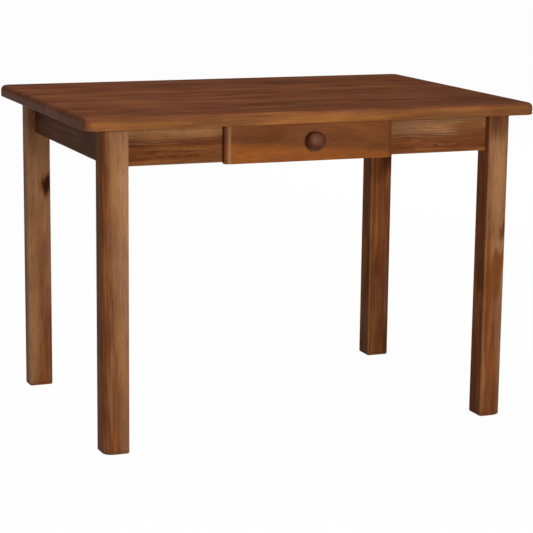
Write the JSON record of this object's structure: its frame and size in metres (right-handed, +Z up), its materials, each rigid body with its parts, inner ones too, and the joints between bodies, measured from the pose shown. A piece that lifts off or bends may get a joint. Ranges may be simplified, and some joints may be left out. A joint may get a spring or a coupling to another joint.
{
  "type": "tavern table",
  "caption": "Rectangular stained pine tavern table with rounded top edge, square legs with rounded outer corners, set-back aprons and an overlay drawer with a turned knob.",
  "frame": {"origin": "on the floor, under the middle of the top", "axes": "+X along the table's length to the right as seen from the drawer, -Y out of the drawer front, +Z up"},
  "size_m": [1.1, 0.75, 0.76],
  "materials": {
    "top_pine": "satin stained pine",
    "frame_pine": "satin stained pine",
    "drawer_front_pine": "satin stained pine",
    "knob_pine": "satin stained pine",
    "plain_pine": "unstained pine",
    "plywood": "unfinished plywood",
    "screw_steel": "zinc plated"
  },
  "bodies": {
    "table": {"top_board_1": "top_pine", "top_board_2": "top_pine", "top_board_3": "top_pine", "top_board_4": "top_pine", "top_board_5": "top_pine", "top_board_6": "top_pine", "top_board_7": "top_pine", "leg_front_left": "frame_pine", "leg_front_right": "frame_pine", "leg_back_right": "frame_pine", "leg_back_left": "frame_pine", "front_apron": "frame_pine", "right_apron": "frame_pine", "back_apron": "frame_pine", "left_apron": "frame_pine", "brace_front_left": "plain_pine", "brace_front_right": "plain_pine", "brace_back_right": "plain_pine", "brace_back_left": "plain_pine", "drawer_runner_left": "plain_pine", "drawer_runner_right": "plain_pine", "drawer_guide_left": "plain_pine", "drawer_guide_right": "plain_pine", "drawer_kicker_left": "plain_pine", "drawer_kicker_right": "plain_pine", "top_buttons": "plain_pine", "button_screws": "screw_steel", "drawer_stop": "plain_pine"},
    "drawer": {"drawer_front": "drawer_front_pine", "drawer_side_left": "plain_pine", "drawer_side_right": "plain_pine", "drawer_back": "plain_pine", "drawer_bottom": "plywood", "drawer_knob": "knob_pine", "knob_screw": "screw_steel"}
  },
  "joints": [
    {"name": "drawer_slide", "type": "slide", "parent": "table", "child": "drawer", "axis": [0, -1, 0], "range_m": [0, 0.305]}
  ]
}
